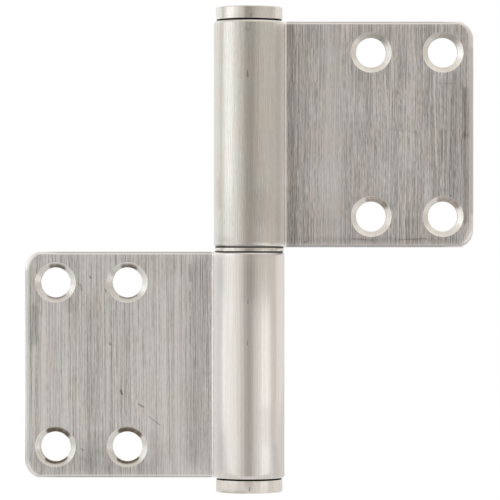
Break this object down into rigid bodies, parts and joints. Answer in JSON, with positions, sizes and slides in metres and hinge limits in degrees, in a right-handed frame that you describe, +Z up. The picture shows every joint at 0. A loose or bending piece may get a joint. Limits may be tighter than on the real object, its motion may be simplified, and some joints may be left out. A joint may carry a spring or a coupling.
{
  "type": "lift-off hinge",
  "caption": "Steel lift-off flag hinge: flat leaves with countersunk screw holes are rolled into barrels that turn on a pressed pin over a washer, with turned end caps.",
  "frame": {"origin": "on the pin's axis, half way through the washer between the barrels", "axes": "+Z up along the pin, +X towards the upper leaf's outer edge with the hinge opened flat, +Y to the back, so the countersunk faces look along -Y"},
  "size_m": [0.1, 0.0156, 0.1076],
  "materials": {
    "leaf_steel": "hairline brushed along the pin",
    "turned_steel": "fine turned",
    "pin_steel": "ground smooth"
  },
  "bodies": {
    "frame_side": {"lower_leaf": "leaf_steel", "hinge_pin": "pin_steel", "lower_cap": "turned_steel"},
    "washer": {"thrust_washer": "turned_steel"},
    "door_side": {"upper_leaf": "leaf_steel", "upper_cap": "turned_steel"}
  },
  "joints": [
    {"name": "swing", "type": "hinge", "parent": "frame_side", "child": "washer", "pos_m": [0, 0, 0], "axis": [0, 0, 1], "continuous": true},
    {"name": "lift_off", "type": "slide", "parent": "washer", "child": "door_side", "axis": [0, 0, 1], "range_m": [0, 0.045]}
  ]
}
